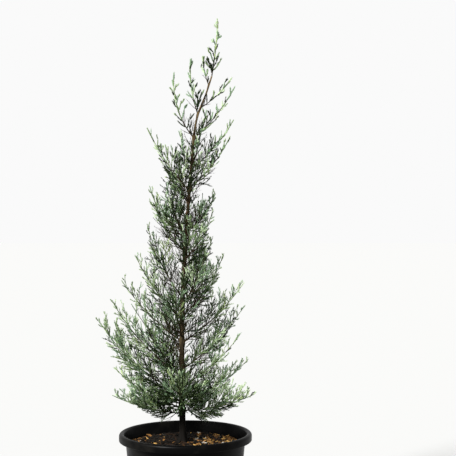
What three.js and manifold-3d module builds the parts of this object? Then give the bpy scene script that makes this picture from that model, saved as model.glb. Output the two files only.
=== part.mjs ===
// A young Arizona cypress in a black nursery pot: pot, potting mix, trunk, main boughs and foliage.
// Millimetres, +Z up. The origin is the centre of the pot's flat underside, and the plant's front faces -Y.
import * as THREE from "three";
import { mergeVertices } from "three/addons/utils/BufferGeometryUtils.js";
import Module from "manifold-3d";

const wasm = await Module();
wasm.setup();

// Clearance between solids that meet.
const GAP = 0.3;

// The pot: a tapering thermoformed tub with a rolled lip that stands out from the body.
const POT = {
  height: 176,
  rimRadius: 91.3,
  mouthRadius: 83.8,
  bodyTopRadius: 82.2,
  baseRadius: 66.4,
  lipDrop: 10.5,
  lipEdge: 1,
  lipSteps: 2,
  wall: 2.4,
  floor: 3,
  footRound: 3,
  drainRadius: 7,
  drainRing: 48,
  drains: 6,
  drainFacets: 8,
  facets: 36,
};

// The potting mix fills the pot to a little under the mouth and is slightly mounded round the trunk.
const SOIL = { edgeHeight: 160, topHeight: 163, footRadius: 14 };

// The trunk's line, as sideways lean against height, with a bend below the leader.
// Its rings lie closer together towards the root flare.
const TRUNK = {
  line: [
    [-3.6, SOIL.topHeight + GAP],
    [-5.2, 250],
    [-2.4, 400],
    [5.4, 510],
    [15.2, 606],
    [29, 644],
    [36, 666],
  ],
  footRadius: 4.5,
  tipRadius: 1.1,
  flare: 3.2,
  flareHeight: 7,
  taper: 0.9,
  sides: 8,
  steps: 28,
  ringSpacing: 1.6,
  samples: 10,
};

// Limbs on the two sides of the crown, from the ground up.
// Each has its height on the trunk, its heading (0 is +X, 90 is +Y), its first rise, its lift and its reach.
const SIDE_LIMBS = {
  right: [
    { height: 206, heading: -10, rise: 2, lift: 24, reach: 104 },
    { height: 221, heading: 14, rise: 12, lift: 34, reach: 109 },
    { height: 240, heading: -8, rise: 28, lift: 28, reach: 112 },
    { height: 262, heading: 8, rise: 33, lift: 24, reach: 124 },
    { height: 299, heading: -12, rise: 33, lift: 22, reach: 122 },
    { height: 336, heading: 8, rise: 42, lift: 28, reach: 104 },
    { height: 375, heading: 14, rise: 45, lift: 28, reach: 82 },
    { height: 413, heading: -16, rise: 45, lift: 28, reach: 82 },
    { height: 449, heading: 14, rise: 42, lift: 22, reach: 70 },
    { height: 512, heading: -10, rise: 38, lift: 26, reach: 90 },
    { height: 538, heading: 10, rise: 38, lift: 22, reach: 90 },
    { height: 580, heading: -6, rise: 40, lift: 22, reach: 90 },
    { height: 622, heading: 8, rise: 32, lift: 24, reach: 60 },
  ],
  left: [
    { height: 202, heading: 191, rise: 5, lift: 22, reach: 100 },
    { height: 210, heading: 172, rise: 11, lift: 36, reach: 110 },
    { height: 229, heading: 184, rise: 24, lift: 36, reach: 156 },
    { height: 253, heading: 170, rise: 32, lift: 28, reach: 146 },
    { height: 276, heading: 192, rise: 36, lift: 24, reach: 105 },
    { height: 301, heading: 178, rise: 34, lift: 22, reach: 119 },
    { height: 331, heading: 172, rise: 42, lift: 22, reach: 111 },
    { height: 361, heading: 190, rise: 52, lift: 24, reach: 113 },
    { height: 423, heading: 176, rise: 50, lift: 24, reach: 104 },
    { height: 443, heading: 194, rise: 35, lift: 20, reach: 72 },
    { height: 492, heading: 166, rise: 44, lift: 22, reach: 57 },
    { height: 508, heading: 184, rise: 47, lift: 18, reach: 103 },
    { height: 527, heading: 214, rise: 64, lift: 24, reach: 64 },
    { height: 581, heading: 176, rise: 50, lift: 46, reach: 96 },
    { height: 613, heading: 192, rise: 70, lift: 24, reach: 76 },
    { height: 653, heading: 205, rise: 66, lift: 20, reach: 40 },
  ],
};

// Limbs that grow towards the front and the back in turn, spaced evenly up the trunk.
const DEPTH_LIMBS = {
  count: 16,
  footHeight: 213,
  topHeight: 560,
  swing: 34,
  swingTurn: 2.4,
  rise: [12, 50],
  lift: [36, 22],
  reach: [122, 70],
};

// The leader goes on from the trunk's tip.
const LEADER = { heading: 20, rise: 80, lift: 6, reach: 81 };

// Limbs with at least this reach have a bare bough, which ends at a share of the reach.
const BOUGH = { leastReach: 113, share: 0.2, sides: 5, steps: 4 };

// A limb's radius follows its reach, and falls to the tip's radius. Its line is sampled to measure distances.
const LIMB = {
  baseRadius: 0.9,
  radiusPerReach: 0.0115,
  tipRadius: 0.55,
  taper: 0.8,
  sample: 4,
  nudge: 0.05,
  edgeShares: [0, 0.25, 0.5, 0.75],
};

// The rule for the foliage: sprays leave the stem in a spiral, longer and more splayed near the trunk.
// Above the lowest boughs they turn upwards, and in the thin upper crown they are shorter.
const PLUME = {
  stemSides: 3,
  stemSpan: 24,
  step: 8.4,
  leastCount: 4,
  firstSpray: 3,
  lastSpray: 0.97,
  placeInStep: 0.35,
  turn: THREE.MathUtils.degToRad(137.5),
  turnSpread: 0.5,
  splay: [72, 26],
  upturn: [0.2, 0.36],
  upturnHeights: [205, 300],
  sprayLength: [0.62, 0.2],
  lengthSpread: 0.3,
  leastSpray: 15,
  mostSpray: [46, 26],
  thinHeights: [440, 600],
  overhang: 7,
  shrink: 0.92,
  tries: 14,
  rolls: 6,
  rollSpread: 1.4,
  fineness: [0.05, 0.06, 0.04, 0.08, 0.03, 0.1, 0.02, 0.12, 0.15],
  leastEdge: 0.004,
};

// A spray: a flat fan of pointed shoots from one root, each with its lean from the middle and its length.
// Notches part them. It is thickest at a swelling near the root. Shares are of the spray's length.
const SPRAY = {
  shoots: [
    [36, 0.6],
    [17, 0.84],
    [0, 1],
    [-18, 0.8],
    [-37, 0.56],
  ],
  leanSpread: 6,
  shootSpread: 0.24,
  notch: 0.64,
  swelling: 0.17,
  thickness: 0.09,
  rootShare: 0.2,
};

// Room that a spray keeps: to its own stem, to the next limb's space, to a limb, to the trunk, and to the
// pot and mix.
const ROOM = { stem: 1.7, space: 1.1, limb: 3.4, trunk: 1.2, pot: 3 };

// The first limb's seed, and the step to the next limb's.
const SEED = { first: 4297, step: 101 };

const UP = new THREE.Vector3(0, 0, 1);
const radians = THREE.MathUtils.degToRad;
const lerp = THREE.MathUtils.lerp;

const bark = new THREE.MeshStandardMaterial({ color: 0x5b4732, roughness: 0.85, metalness: 0 });
const needles = new THREE.MeshStandardMaterial({ color: 0x76866b, roughness: 0.75, metalness: 0 });
const blackPlastic = new THREE.MeshStandardMaterial({ color: 0x17160f, roughness: 0.5, metalness: 0 });
const pottingMix = new THREE.MeshStandardMaterial({ color: 0x3a2b1b, roughness: 0.95, metalness: 0 });

// A repeatable stream of numbers from 0 to 1.
function numberStream(seed) {
  let state = seed >>> 0;
  return () => {
    state = (state + 0x6d2b79f5) >>> 0;
    let mixed = Math.imul(state ^ (state >>> 15), 1 | state);
    mixed = (mixed + Math.imul(mixed ^ (mixed >>> 7), 61 | mixed)) ^ mixed;
    return ((mixed ^ (mixed >>> 14)) >>> 0) / 4294967296;
  };
}

// A closed geometry as a solid that can be joined and cut.
function solidOf(geometry) {
  const bare = geometry.clone();
  bare.deleteAttribute("normal");
  bare.deleteAttribute("uv");
  const merged = mergeVertices(bare, 1e-4);
  const triangles = [];
  for (let i = 0; i < merged.index.count; i += 3) {
    const triangle = Array.from(merged.index.array.slice(i, i + 3));
    if (new Set(triangle).size === 3) triangles.push(...triangle);
  }
  return new wasm.Manifold(
    new wasm.Mesh({
      numProp: 3,
      vertProperties: new Float32Array(merged.attributes.position.array),
      triVerts: new Uint32Array(triangles),
    }),
  );
}

// A solid's surface as a geometry.
function geometryOf(solid) {
  const surface = solid.getMesh();
  const geometry = new THREE.BufferGeometry();
  geometry.setAttribute("position", new THREE.BufferAttribute(surface.vertProperties, 3));
  geometry.setIndex(new THREE.BufferAttribute(surface.triVerts, 1));
  geometry.computeVertexNormals();
  return geometry;
}

function namedMesh(name, geometry, material) {
  const mesh = new THREE.Mesh(geometry, material);
  mesh.name = name;
  return mesh;
}

// A profile in radius and height, turned about the Z axis.
function turned(points) {
  return new THREE.LatheGeometry(points, POT.facets).rotateX(Math.PI / 2);
}

// The pot's inner radius at a height, below the lip.
function innerRadius(height) {
  const bodyTop = POT.height - POT.lipDrop;
  const outer = lerp(POT.baseRadius, POT.bodyTopRadius, height / bodyTop);
  return outer - POT.wall;
}

// The pot: one wall, a rolled lip, a flat underside and drain holes in the floor.
function makePot() {
  const lipRadius = (POT.rimRadius - POT.mouthRadius) / 2;
  const lipFoot = POT.height - POT.lipDrop;
  const outline = new THREE.Path();
  outline.moveTo(0, 0);
  outline.lineTo(POT.baseRadius - POT.footRound, 0);
  outline.lineTo(POT.baseRadius, POT.footRound);
  outline.lineTo(POT.bodyTopRadius, lipFoot);
  outline.lineTo(POT.rimRadius - POT.lipEdge, lipFoot);
  outline.lineTo(POT.rimRadius, lipFoot + POT.lipEdge);
  outline.lineTo(POT.rimRadius, POT.height - lipRadius);
  outline.absarc(POT.mouthRadius + lipRadius, POT.height - lipRadius, lipRadius, 0, Math.PI);
  outline.lineTo(innerRadius(lipFoot - POT.wall), lipFoot - POT.wall);
  outline.lineTo(innerRadius(POT.floor), POT.floor);
  outline.lineTo(0, POT.floor);
  let pot = solidOf(turned(outline.getPoints(POT.lipSteps)));
  for (let i = 0; i < POT.drains; i++) {
    const angle = (2 * Math.PI * i) / POT.drains;
    const hole = [POT.drainRadius, POT.drainRadius, 4 * POT.floor, POT.drainFacets];
    const drill = new THREE.CylinderGeometry(...hole);
    drill.rotateX(Math.PI / 2);
    drill.translate(POT.drainRing * Math.cos(angle), POT.drainRing * Math.sin(angle), 0);
    pot = pot.subtract(solidOf(drill));
  }
  return namedMesh("pot", geometryOf(pot), blackPlastic);
}

// The potting mix inside the pot.
function makeSoil() {
  const bottom = POT.floor + GAP;
  const outline = [
    new THREE.Vector2(0, bottom),
    new THREE.Vector2(innerRadius(bottom) - GAP, bottom),
    new THREE.Vector2(innerRadius(SOIL.edgeHeight) - GAP, SOIL.edgeHeight),
    new THREE.Vector2(SOIL.footRadius, SOIL.topHeight),
    new THREE.Vector2(0, SOIL.topHeight),
  ];
  return namedMesh("soil", geometryOf(solidOf(turned(outline))), pottingMix);
}

// A tapering limb: a cylinder wrapped on a line. place(u) gives a point and its two cross directions.
function wrapped(place, radiusAt, sides, steps, spacing = 1) {
  const geometry = new THREE.CylinderGeometry(1, 1, 1, sides, steps);
  const position = geometry.attributes.position;
  const vertex = new THREE.Vector3();
  for (let i = 0; i < position.count; i++) {
    vertex.fromBufferAttribute(position, i);
    const along = Math.min(1, Math.max(0, vertex.y + 0.5)) ** spacing;
    const { point, across, over } = place(along);
    const radius = radiusAt(along);
    const offset = across.clone().multiplyScalar(vertex.z * radius);
    offset.addScaledVector(over, vertex.x * radius);
    position.setXYZ(i, point.x + offset.x, point.y + offset.y, point.z + offset.z);
  }
  return geometry;
}

const trunkCurve = new THREE.CatmullRomCurve3(
  TRUNK.line.map(([lean, height]) => new THREE.Vector3(lean, 0, height)),
);
const trunkFoot = TRUNK.line[0][1];
const trunkTip = TRUNK.line[TRUNK.line.length - 1][1];

function trunkRadius(height) {
  const share = (height - trunkFoot) / (trunkTip - trunkFoot);
  const flare = TRUNK.flare * Math.exp(-(height - trunkFoot) / TRUNK.flareHeight);
  return lerp(TRUNK.footRadius, TRUNK.tipRadius, share ** TRUNK.taper) + flare;
}

// The trunk's middle at a share of its length, with its radius, its direction and its two cross directions.
function trunkPlace(share) {
  const point = trunkCurve.getPointAt(share);
  const along = share === 0 ? UP.clone() : trunkCurve.getTangentAt(share);
  const over = new THREE.Vector3(0, 1, 0);
  const across = new THREE.Vector3().crossVectors(over, along).normalize();
  return { point, radius: trunkRadius(point.z), along, across, over };
}

// Places on the straight stretches between the trunk's rings.
const trunkRings = Array.from({ length: TRUNK.steps + 1 }, (_, i) =>
  trunkPlace((i / TRUNK.steps) ** TRUNK.ringSpacing),
);
const trunkPlaces = trunkRings.slice(1).flatMap((upper, i) => {
  const lower = trunkRings[i];
  return Array.from({ length: TRUNK.samples }, (_, j) => {
    const share = (j + 1) / TRUNK.samples;
    return {
      point: lower.point.clone().lerp(upper.point, share),
      radius: lerp(lower.radius, upper.radius, share),
      across: lower.across.clone().lerp(upper.across, share),
      over: upper.over,
    };
  });
});

// How far a point lies outside the trunk's flat sides, or above its tip.
function trunkClearance(point) {
  const squares = trunkPlaces.map((place) => place.point.distanceToSquared(point));
  const near = trunkPlaces[squares.indexOf(Math.min(...squares))];
  const offset = point.clone().sub(near.point);
  const across = offset.dot(near.across);
  const over = offset.dot(near.over);
  const halfSide = Math.PI / TRUNK.sides;
  const angle = Math.atan2(over, across);
  const fromSideMiddle = angle - (2 * Math.floor(angle / (2 * halfSide)) + 1) * halfSide;
  const fromMiddle = Math.hypot(across, over) * Math.cos(fromSideMiddle);
  const tip = trunkRings[TRUNK.steps];
  const aboveTip = point.clone().sub(tip.point).dot(tip.along);
  return Math.max(aboveTip, fromMiddle - near.radius * Math.cos(halfSide));
}

// The trunk's middle at a height, found by halving.
function trunkPoint(height) {
  let low = 0;
  let high = 1;
  for (let i = 0; i < 30; i++) {
    const middle = (low + high) / 2;
    if (trunkCurve.getPointAt(middle).z < height) low = middle;
    else high = middle;
  }
  return trunkCurve.getPointAt(low);
}

// The trunk, from its flat cut on the mix to the foot of the leader.
function makeTrunk() {
  const radiusAt = (share) => trunkPlace(share).radius;
  const geometry = wrapped(trunkPlace, radiusAt, TRUNK.sides, TRUNK.steps, TRUNK.ringSpacing);
  return namedMesh("trunk", geometryOf(solidOf(geometry)), bark);
}

// A limb's line: it leaves the trunk's middle at its first rise and turns upwards evenly along its length.
class Limb {
  constructor(name, { height, heading, rise, lift, reach }, index) {
    this.name = name;
    this.reach = reach;
    this.start = height >= trunkTip ? trunkCurve.getPointAt(1) : trunkPoint(height);
    this.out = new THREE.Vector3(Math.cos(radians(heading)), Math.sin(radians(heading)), 0);
    this.side = new THREE.Vector3(-this.out.y, this.out.x, 0);
    this.rise = radians(rise);
    this.lift = radians(lift);
    this.random = numberStream(SEED.first + SEED.step * index);
    this.baseRadius = LIMB.baseRadius + LIMB.radiusPerReach * reach;
    this.hasBough = reach >= BOUGH.leastReach;
    const tip = this.pointAt(reach).sub(this.start);
    this.span = Math.hypot(tip.x, tip.y);
    this.foot = this.footDistance(this.hasBough ? BOUGH.sides : PLUME.stemSides);
    this.line = Array.from({ length: Math.ceil(reach / LIMB.sample) + 1 }, (_, i) =>
      this.pointAt(THREE.MathUtils.clamp(LIMB.sample * i, this.foot, reach)),
    );
  }

  // How far along the line the limb starts, so that its flat end just clears the trunk.
  footDistance(sides) {
    let distance = 0;
    while (this.endEdge(distance, sides).some((point) => trunkClearance(point) < GAP)) distance += LIMB.nudge;
    return distance;
  }

  // Points round the edge of the limb's flat end.
  endEdge(distance, sides) {
    const over = new THREE.Vector3().crossVectors(this.directionAt(distance), this.side);
    const corners = Array.from({ length: sides }, (_, i) => {
      const angle = (2 * Math.PI * i) / sides;
      const corner = this.pointAt(distance).addScaledVector(this.side, this.baseRadius * Math.cos(angle));
      return corner.addScaledVector(over, this.baseRadius * Math.sin(angle));
    });
    return corners.flatMap((corner, i) =>
      LIMB.edgeShares.map((share) => corner.clone().lerp(corners[(i + 1) % sides], share)),
    );
  }

  riseAt(distance) {
    return this.rise + (this.lift * distance) / this.reach;
  }

  // The line's point, by the integral of a direction that turns evenly.
  pointAt(distance) {
    const turn = this.lift / this.reach;
    const bend = this.rise + turn * distance;
    const straight = Math.abs(turn) < 1e-6;
    const outwards = straight
      ? Math.cos(this.rise) * distance
      : (Math.sin(bend) - Math.sin(this.rise)) / turn;
    const upwards = straight
      ? Math.sin(this.rise) * distance
      : (Math.cos(this.rise) - Math.cos(bend)) / turn;
    return this.start.clone().addScaledVector(this.out, outwards).addScaledVector(UP, upwards);
  }

  directionAt(distance) {
    const bend = this.riseAt(distance);
    return this.out.clone().multiplyScalar(Math.cos(bend)).addScaledVector(UP, Math.sin(bend));
  }

  radiusAt(distance) {
    return lerp(this.baseRadius, LIMB.tipRadius, (distance / this.reach) ** LIMB.taper);
  }

  // The stretch between two distances, as a closed tapering geometry.
  stretch(from, to, sides, steps) {
    const place = (u) => {
      const distance = lerp(from, to, u);
      const over = new THREE.Vector3().crossVectors(this.side, this.directionAt(distance));
      return { point: this.pointAt(distance), across: this.side, over: over.negate() };
    };
    return wrapped(place, (u) => this.radiusAt(lerp(from, to, u)), sides, steps);
  }

  distanceTo(point) {
    return Math.sqrt(Math.min(...this.line.map((p) => p.distanceToSquared(point))));
  }
}

// The limbs of the sides by their schedule, and those of the front and back by their rule.
function planLimbs() {
  const plans = [];
  for (const [side, rows] of Object.entries(SIDE_LIMBS)) {
    rows.forEach((row, i) => plans.push([`${side}_${String(i + 1).padStart(2, "0")}`, row]));
  }
  for (let i = 0; i < DEPTH_LIMBS.count; i++) {
    const share = i / (DEPTH_LIMBS.count - 1);
    const face = i % 2 ? "back" : "front";
    const swing = DEPTH_LIMBS.swing * Math.sin(DEPTH_LIMBS.swingTurn * i);
    const row = {
      height: lerp(DEPTH_LIMBS.footHeight, DEPTH_LIMBS.topHeight, share),
      heading: (i % 2 ? 90 : 270) + swing,
      rise: lerp(...DEPTH_LIMBS.rise, Math.sqrt(share)),
      lift: lerp(...DEPTH_LIMBS.lift, share),
      reach: lerp(...DEPTH_LIMBS.reach, share),
    };
    plans.push([`${face}_${String(Math.floor(i / 2) + 1).padStart(2, "0")}`, row]);
  }
  plans.push(["leader", { height: trunkTip, ...LEADER }]);
  return plans.map(([name, row], index) => new Limb(name, row, index));
}

const limbs = planLimbs();
const crownTop = limbs[limbs.length - 1].pointAt(LEADER.reach).z;

// Whether a point lies in a limb's own space: nearest to its line, within its span, and clear of its stem
// and of the trunk, pot and mix.
function inOwnSpace(limb, point) {
  const own = limb.distanceTo(point);
  const outwards = Math.hypot(point.x - limb.start.x, point.y - limb.start.y);
  if (own < ROOM.stem || outwards > limb.span + PLUME.overhang || point.z > crownTop) return false;
  if (limb.name !== "leader" && trunkClearance(point) < ROOM.trunk) return false;
  if (point.z < SOIL.topHeight + ROOM.pot) return false;
  const overRim = Math.hypot(point.x, point.y) > POT.bodyTopRadius - ROOM.pot;
  if (overRim && point.z < POT.height + ROOM.pot) return false;
  return limbs.every((other) => {
    if (other === limb) return true;
    const next = other.distanceTo(point);
    return next > own + ROOM.space && next > ROOM.limb;
  });
}

// A rotation that turns +Y to a direction, with +X as near as it can be to a given side.
function turnedTo(direction, side) {
  const across = side.clone().addScaledVector(direction, -side.dot(direction)).normalize();
  return new THREE.Matrix4().makeBasis(across, direction, across.clone().cross(direction));
}

// A spray's outline along +Y: its root, then the tips of its shoots with the notches between them.
function sprayOutline(random) {
  const shoots = SPRAY.shoots.map(([lean, share]) => ({
    lean: radians(lean + (random() - 0.5) * SPRAY.leanSpread),
    length: share * (1 + (random() - 0.5) * SPRAY.shootSpread),
  }));
  const place = (lean, length) => new THREE.Vector2(Math.sin(lean), Math.cos(lean)).multiplyScalar(length);
  const outline = [new THREE.Vector2(0, 0)];
  shoots.forEach((shoot, i) => {
    outline.push(place(shoot.lean, shoot.length));
    const next = shoots[i + 1];
    if (!next) return;
    const notch = SPRAY.notch * Math.min(shoot.length, next.length);
    outline.push(place((shoot.lean + next.lean) / 2, notch));
  });
  return outline;
}

// A spray in the XY plane: a sphere with its equator drawn out to the outline and its poles at the swelling.
function sprayGeometry(outline, length) {
  const spray = new THREE.SphereGeometry(1, outline.length, 2);
  const position = spray.attributes.position;
  const columns = outline.length + 1;
  for (let i = 0; i < position.count; i++) {
    const pole = Math.round(position.getY(i));
    const spot = outline[(i % columns) % outline.length];
    if (pole) position.setXYZ(i, 0, SPRAY.swelling, (pole * SPRAY.thickness) / 2);
    else position.setXYZ(i, spot.x, spot.y, 0);
  }
  return spray.scale(length, length, length);
}

function corners(geometry) {
  const position = geometry.attributes.position;
  const cornerAt = (_, i) => new THREE.Vector3().fromBufferAttribute(position, i);
  return Array.from({ length: position.count }, cornerAt);
}

// The sprays' plan along a stem: where each leaves it, which way it points, its roll, length and outline.
function planSprays(limb, from) {
  const first = from + PLUME.firstSpray;
  const last = PLUME.lastSpray * limb.reach;
  const count = Math.max(PLUME.leastCount, Math.round((last - first) / PLUME.step));
  return Array.from({ length: count }, (_, j) => {
    const distance = lerp(first, last, (j + PLUME.placeInStep) / count);
    const share = distance / limb.reach;
    const root = limb.pointAt(distance);
    const forward = limb.directionAt(distance);
    const over = new THREE.Vector3().crossVectors(forward, limb.side).normalize();
    const turn = j * PLUME.turn + (limb.random() - 0.5) * PLUME.turnSpread;
    const splay = radians(lerp(...PLUME.splay, share));
    const outwards = limb.side.clone().multiplyScalar(Math.cos(turn)).addScaledVector(over, Math.sin(turn));
    const direction = forward.clone().multiplyScalar(Math.cos(splay));
    direction.addScaledVector(outwards, Math.sin(splay));
    const raised = THREE.MathUtils.smoothstep(root.z, ...PLUME.upturnHeights);
    direction.addScaledVector(UP, lerp(...PLUME.upturn, raised)).normalize();
    const thinned = THREE.MathUtils.smoothstep(root.z, ...PLUME.thinHeights);
    const spread = 1 + (limb.random() - 0.5) * PLUME.lengthSpread;
    const wanted = limb.reach * lerp(...PLUME.sprayLength, share) * spread;
    const length = THREE.MathUtils.clamp(wanted, PLUME.leastSpray, lerp(...PLUME.mostSpray, thinned));
    const flat = new THREE.Vector3().crossVectors(direction, forward).normalize();
    const side = flat.applyAxisAngle(direction, PLUME.rollSpread * (limb.random() - 0.5));
    return { root, direction, side, length, outline: sprayOutline(limb.random) };
  });
}

// A spray in its place, rolled and shortened until it keeps to the limb's own space and crosses none of the
// sprays grown before it, or nothing where it can't.
function fittedSpray(limb, { root, direction, side, length, outline }, grown) {
  for (let tries = 0; tries < PLUME.tries * PLUME.rolls; tries++) {
    const shorter = length * PLUME.shrink ** Math.floor(tries / PLUME.rolls);
    const roll = (Math.PI * (tries % PLUME.rolls)) / PLUME.rolls;
    const place = turnedTo(direction, side.clone().applyAxisAngle(direction, roll)).setPosition(root);
    const spray = sprayGeometry(outline, shorter).applyMatrix4(place);
    const outer = corners(spray).filter((c) => c.distanceTo(root) > SPRAY.rootShare * shorter);
    if (!outer.every((corner) => inOwnSpace(limb, corner))) continue;
    const solid = solidOf(spray);
    if (grown.every((other) => solid.intersect(other).isEmpty())) return solid;
  }
  return null;
}

// A lighter copy of a solid, at the first fineness that keeps all of its corners apart.
function lightened(solid) {
  for (const fineness of PLUME.fineness) {
    const lighter = solid.asOriginal().simplify(fineness);
    const spots = corners(geometryOf(lighter));
    const near = (spot, i) => spots.slice(i + 1).some((other) => spot.distanceTo(other) < PLUME.leastEdge);
    if (!spots.some(near)) return lighter;
  }
  return solid;
}

// A mass of foliage: the limb's stem from a distance to its tip, with its sprays joined into one solid.
function makeFoliage(limb, from) {
  const steps = Math.max(2, Math.round((limb.reach - from) / PLUME.stemSpan));
  const stem = limb.stretch(from, limb.reach, PLUME.stemSides, steps);
  const grown = [];
  for (const plan of planSprays(limb, from)) {
    const spray = fittedSpray(limb, plan, grown);
    if (spray) grown.push(spray);
  }
  const joined = wasm.Manifold.union([solidOf(stem), ...grown]);
  const whole = joined.decompose().sort((a, b) => b.volume() - a.volume())[0];
  return namedMesh(`foliage_${limb.name}`, geometryOf(lightened(whole)), needles);
}

const cypress = new THREE.Group();
cypress.add(makePot(), makeSoil(), makeTrunk());
for (const limb of limbs) {
  let from = limb.foot;
  if (limb.hasBough) {
    const end = BOUGH.share * limb.reach;
    const geometry = limb.stretch(from, end, BOUGH.sides, BOUGH.steps);
    cypress.add(namedMesh(`bough_${limb.name}`, geometryOf(solidOf(geometry)), bark));
    from = end + GAP;
  }
  cypress.add(makeFoliage(limb, from));
}

export default cypress;
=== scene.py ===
import math
from collections import namedtuple

import bpy
import numpy as np
from bpy.props import FloatProperty, FloatVectorProperty, IntProperty, PointerProperty
from bpy.types import Operator, Panel, PropertyGroup
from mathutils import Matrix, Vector, noise


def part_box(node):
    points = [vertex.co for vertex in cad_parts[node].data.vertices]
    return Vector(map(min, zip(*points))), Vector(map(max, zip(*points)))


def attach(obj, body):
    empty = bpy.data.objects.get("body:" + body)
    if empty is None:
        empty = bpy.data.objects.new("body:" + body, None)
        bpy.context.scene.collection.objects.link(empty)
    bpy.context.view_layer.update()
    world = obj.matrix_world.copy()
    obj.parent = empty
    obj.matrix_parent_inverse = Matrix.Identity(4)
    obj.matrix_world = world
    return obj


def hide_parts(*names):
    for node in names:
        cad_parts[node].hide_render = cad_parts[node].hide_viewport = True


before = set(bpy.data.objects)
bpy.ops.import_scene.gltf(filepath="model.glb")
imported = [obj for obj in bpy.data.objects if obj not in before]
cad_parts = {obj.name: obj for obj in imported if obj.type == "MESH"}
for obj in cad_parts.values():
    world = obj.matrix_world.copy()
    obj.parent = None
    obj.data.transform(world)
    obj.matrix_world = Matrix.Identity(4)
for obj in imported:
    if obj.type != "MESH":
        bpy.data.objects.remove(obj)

bl_info = {
    "name": "Potted Arizona Cypress",
    "version": (1, 0, 0),
    "blender": (4, 5, 0),
    "location": "View3D > Sidebar > Cypress",
    "description": "Grows a young conifer and its nursery pot on the packed frame",
    "category": "Add Mesh",
}

# Lengths are metres. The plant's own schedule is written in millimetres and turned to metres by MM.
MM = 0.001
UP = np.array((0.0, 0.0, 1.0))
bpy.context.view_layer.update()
_, POT_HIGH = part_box("pot")
MIX_LOW, MIX_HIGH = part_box("soil")
TRUNK_LOW, TRUNK_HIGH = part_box("trunk")
FOLIAGE_NODES = sorted(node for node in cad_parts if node.startswith("foliage_"))

# The mix falls a little from the trunk's foot to the pot's wall. Its lumps: layer, width and height.
MIX_FALL = 3 * MM
MIX_LUMPS = ((0, 9 * MM, 0.6), (3, 3.5 * MM, 0.3))

# The trunk's line, as sideways lean against height, with its taper and the flare of its roots.
TRUNK_LINE = ((-3.6, 163.3), (-5.2, 250), (-2.4, 400), (5.4, 510), (15.2, 606), (29, 644), (36, 666))
TRUNK_SAMPLES = 60
TRUNK_FOOT_RADIUS = 4.5 * MM
TRUNK_TIP_RADIUS = 1.1 * MM
TRUNK_TAPER = 0.9
FLARE = 3.2 * MM
FLARE_HEIGHT = 7 * MM

# Where the bark's colours lie, as shares of the way up the trunk, and its furrows: the share and the
# scale of the finer ones, and the level between furrow and strip.
BARK_STOPS = ((0.1, "old_shaded"), (0.22, "middle"), (0.55, "middle"), (0.61, "ruddy"), (0.68, "middle"))
FINE_FURROWS = (0.5, 2.1)
BARK_LEVEL = 0.35

# Limbs on the two sides of the crown: height, heading, first rise, lift and reach.
SIDE_LIMBS = {
    "right": (
        (206, -10, 2, 24, 104),
        (221, 14, 12, 34, 109),
        (240, -8, 28, 28, 112),
        (262, 8, 33, 24, 124),
        (299, -12, 33, 22, 122),
        (336, 8, 42, 28, 104),
        (375, 14, 45, 28, 82),
        (413, -16, 45, 28, 82),
        (449, 14, 42, 22, 70),
        (512, -10, 38, 26, 90),
        (538, 10, 38, 22, 90),
        (580, -6, 40, 22, 90),
        (622, 8, 32, 24, 60),
    ),
    "left": (
        (202, 191, 5, 22, 100),
        (210, 172, 11, 36, 110),
        (229, 184, 24, 36, 156),
        (253, 170, 32, 28, 146),
        (276, 192, 36, 24, 105),
        (301, 178, 34, 22, 119),
        (331, 172, 42, 22, 111),
        (361, 190, 52, 24, 113),
        (423, 176, 50, 24, 104),
        (443, 194, 35, 20, 72),
        (492, 166, 44, 22, 57),
        (508, 184, 47, 18, 103),
        (527, 214, 64, 24, 64),
        (581, 176, 50, 46, 96),
        (613, 192, 70, 24, 76),
        (653, 205, 66, 20, 40),
    ),
}

# Limbs towards the front and the back in turn, spaced evenly up the trunk, and the leader.
DEPTH_COUNT = 16
DEPTH_HEIGHT = (213, 560)
DEPTH_SWING = 34
DEPTH_SWING_TURN = 2.4
DEPTH_RISE = (12, 50)
DEPTH_LIFT = (36, 22)
DEPTH_REACH = (122, 70)
LEADER = (666, 20, 80, 6, 75)

# Habits of single limbs: how far apart their twigs stand, how long the twigs are, and how much longer they
# grow at the limb's tip, against other limbs.
PLAIN_HABIT = (1, 1, 1)
HABITS = {
    "leader": (0.92, 0.9, 1),
    "left_01": (0.75, 1.3, 1),
    "left_02": (1.1, 1, 1.3),
    "left_03": (1.3, 1, 1.4),
    "left_04": (1.2, 1, 1),
    "left_05": (3.0, 0.6, 1),
    "left_10": (1.5, 1, 1),
    "left_11": (0.8, 1, 1),
    "right_01": (0.8, 0.8, 2.0),
    "right_02": (0.8, 0.75, 1.3),
    "right_03": (1.5, 0.8, 1),
    "right_09": (0.55, 1, 1),
}

# One bare limb has an open bay round it: how far others keep off, and the bay's radius and start.
BAY_LIMB = "left_05"
BAY_MARGIN = 15 * MM
BAY_RADIUS = 12 * MM
BAY_START = 30 * MM

# A limb starts inside the trunk, and its radius follows its reach. Limbs with a long reach have a bare bough
# for a share of it.
LIMB_ROOT = 0.6
LIMB_BASE_RADIUS = 0.9 * MM
LIMB_RADIUS_PER_REACH = 0.0115
LIMB_TIP_RADIUS = 0.55 * MM
LIMB_TAPER = 0.45
LIMB_SLIMMING = 0.62
BOUGH_LEAST_REACH = 113 * MM
BOUGH_SHARE = 0.2

# Where leaves begin on a limb's own stem, as a share of its reach, and the length of each leafy stretch.
STEM_LEAVES_FROM = 0.28
STEM_LEAVES_EXCEPT = {BAY_LIMB: 0.8, "leader": 0.05}
STEM_STRETCH = 9 * MM
FEWEST_MARKS = 3

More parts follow.
